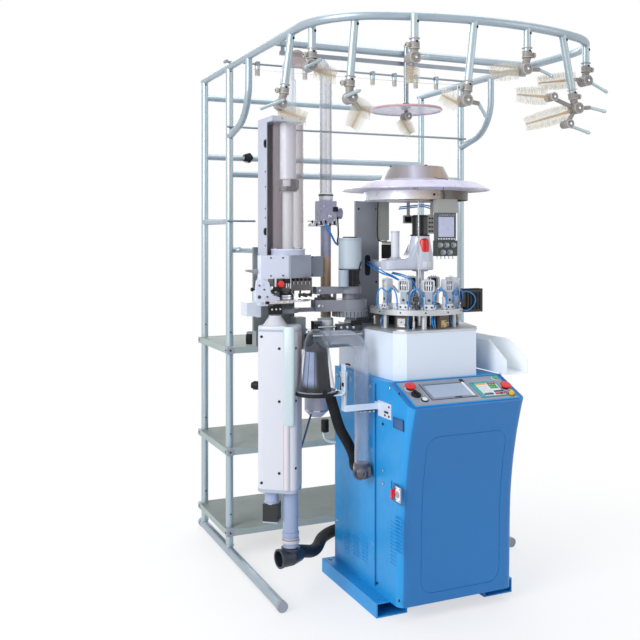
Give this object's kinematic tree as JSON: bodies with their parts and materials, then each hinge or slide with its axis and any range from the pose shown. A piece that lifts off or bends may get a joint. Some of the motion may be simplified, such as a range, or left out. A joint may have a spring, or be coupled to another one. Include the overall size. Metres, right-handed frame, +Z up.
{
  "type": "sock knitting machine",
  "caption": "Circular sock knitting machine with toe-closing arm and head, sloped control panel, suction filter and overhead yarn creel with shelves.",
  "frame": {"origin": "on the floor, under the axis of the needle cylinder", "axes": "+X to the machine's right as seen from its control panel, +Y to the rear where the yarn shelves are, +Z up"},
  "size_m": [1.3901, 1.6375, 2.242],
  "materials": {
    "tube_blue_grey": "satin blue-grey paint on steel tube",
    "black_plastic": "moulded black plastic",
    "taupe_plastic": "taupe moulded clamps",
    "shelf_grey": "satin grey paint on folded sheet",
    "bright_rod": "drawn steel rod",
    "clear_disc": "clear plastic",
    "bristle": "cream bristle",
    "cabinet_blue": "satin blue paint",
    "cover_blue": "satin blue paint",
    "panel_grey": "light grey panel film",
    "screen": "display window",
    "keys": "membrane keys",
    "estop_red": "red moulded head",
    "knob_black": "black moulded knob",
    "start_green": "green cap",
    "stop_white": "white cap",
    "lever": "moulded lever",
    "motor_dark": "dark painted motor",
    "pulley_steel": "turned aluminium",
    "belt_rubber": "toothed rubber belt",
    "enclosure_white": "white paint",
    "bed_steel": "ground steel bed",
    "brass_block": "brass-coloured blocks",
    "air_blue": "blue pneumatic tube",
    "feeder_white": "pale feeder blocks",
    "cylinder_steel": "ground steel",
    "casting_white": "white painted casting",
    "clear_dish": "clear moulded cover",
    "unit_white": "white plastic unit",
    "arm_casting": "machined aluminium",
    "carrier_grey": "grey painted casting",
    "pipe_grey": "grey plastic pipe",
    "hose_black": "black hose",
    "clear_tube": "clear tube",
    "tube_white": "white plastic",
    "guide_white": "white guide tube with a dark star ring at its foot",
    "duct_beige": "beige plastic",
    "filter_dark": "dark filter sleeve"
  },
  "bodies": {
    "machine": {"creel_posts": "tube_blue_grey", "creel_rails": "tube_blue_grey", "creel_ring": "tube_blue_grey", "hanger_tubes": "tube_blue_grey", "creel_fittings": "black_plastic", "brush_clamps": "taupe_plastic", "shelves": "shelf_grey", "guide_rods": "bright_rod", "guide_disc": "clear_disc", "yarn_brushes": "bristle", "base_rails": "cabinet_blue", "cabinet_body": "cabinet_blue", "side_covers": "cabinet_blue", "front_cover": "cover_blue", "control_panel": "panel_grey", "display_screen": "screen", "keypad": "keys", "drive_motor": "motor_dark", "toe_motor": "motor_dark", "drive_belt": "belt_rubber", "enclosure_skirt": "enclosure_white", "chute_tray": "enclosure_white", "side_bracket": "enclosure_white", "column_channel": "enclosure_white", "band_ring": "enclosure_white", "machine_bed": "bed_steel", "actuator_blocks": "brass_block", "air_tubes": "air_blue", "feeder_blocks": "feeder_white", "slotted_column": "casting_white", "sewing_head": "casting_white", "toe_box": "casting_white", "top_dish": "clear_dish", "tension_unit": "unit_white", "toe_carrier": "carrier_grey", "outlet_pipe": "pipe_grey", "outlet_hose": "hose_black", "suction_hose": "hose_black", "column_tube": "clear_tube", "clear_ducts": "clear_tube", "filter_jar": "clear_tube", "gripper_carriage": "guide_white", "valve_block": "duct_beige", "filter_base": "filter_dark"},
    "cylinder": {"needle_cylinder": "cylinder_steel"},
    "pulley": {"motor_pulley": "pulley_steel"},
    "dial_carrier": {"dial_head": "casting_white", "dial_motor": "motor_dark"},
    "dial": {"needle_dial": "cylinder_steel"},
    "arm_drive": {"arm_motor": "casting_white"},
    "arm": {"transfer_arm": "arm_casting"},
    "linking": {"linking_dial": "cylinder_steel"},
    "turner": {"turning_tube": "tube_white"},
    "left_stop": {"estop_left": "estop_red"},
    "right_stop": {"estop_right": "estop_red"},
    "selector": {"selector_knob": "knob_black"},
    "speed": {"speed_knob": "knob_black"},
    "start": {"start_button": "start_green"},
    "stop": {"stop_button": "stop_white"},
    "main_switch": {"main_switch_lever": "lever"}
  },
  "joints": [
    {"name": "cylinder_spin", "type": "hinge", "parent": "machine", "child": "cylinder", "pos_m": [0, 0, 1], "axis": [0, 0, 1], "continuous": true},
    {"name": "pulley_spin", "type": "hinge", "parent": "machine", "child": "pulley", "pos_m": [0, 0.195, 1], "axis": [0, 0, 1], "continuous": true},
    {"name": "dial_lift", "type": "slide", "parent": "machine", "child": "dial_carrier", "axis": [0, 0, 1], "range_m": [0, 0.05]},
    {"name": "dial_spin", "type": "hinge", "parent": "dial_carrier", "child": "dial", "pos_m": [0, 0, 1.25], "axis": [0, 0, 1], "continuous": true},
    {"name": "arm_lift", "type": "slide", "parent": "machine", "child": "arm_drive", "axis": [0, 0, 1], "range_m": [0, 0.025]},
    {"name": "arm_swing", "type": "hinge", "parent": "arm_drive", "child": "arm", "pos_m": [-0.273, 0.1, 1.15], "axis": [0, 0, 1], "range_deg": [0, 100]},
    {"name": "linking_spin", "type": "hinge", "parent": "machine", "child": "linking", "pos_m": [-0.56357, 0.11, 1.2], "axis": [0, 0, 1], "continuous": true},
    {"name": "turner_lift", "type": "slide", "parent": "machine", "child": "turner", "axis": [0, 0, 1], "range_m": [0, 0.08]},
    {"name": "left_stop_press", "type": "slide", "parent": "machine", "child": "left_stop", "axis": [0, 0.3895, -0.921], "range_m": [0, 0.005], "stiffness_N_per_m": 300},
    {"name": "right_stop_press", "type": "slide", "parent": "machine", "child": "right_stop", "axis": [0, 0.3895, -0.921], "range_m": [0, 0.005], "stiffness_N_per_m": 300},
    {"name": "selector_turn", "type": "hinge", "parent": "machine", "child": "selector", "pos_m": [-0.19, -0.2959, 0.85188], "axis": [0, -0.3895, 0.921], "range_deg": [-45, 45]},
    {"name": "speed_turn", "type": "hinge", "parent": "machine", "child": "speed", "pos_m": [0.209, -0.34011, 0.83318], "axis": [0, -0.3895, 0.921], "range_deg": [-135, 135]},
    {"name": "start_press", "type": "slide", "parent": "machine", "child": "start", "axis": [0, 0.3895, -0.921], "range_m": [0, 0.0025], "stiffness_N_per_m": 300},
    {"name": "stop_press", "type": "slide", "parent": "machine", "child": "stop", "axis": [0, 0.3895, -0.921], "range_m": [0, 0.0025], "stiffness_N_per_m": 300},
    {"name": "main_switch_turn", "type": "hinge", "parent": "machine", "child": "main_switch", "pos_m": [-0.255, -0.2535, 0.4845], "axis": [1, 0, 0], "range_deg": [0, 90]}
  ],
  "couplings": [
    {"joint": "pulley_spin", "follows": "cylinder_spin", "ratio": 3.6667},
    {"joint": "dial_spin", "follows": "cylinder_spin", "ratio": 1}
  ]
}
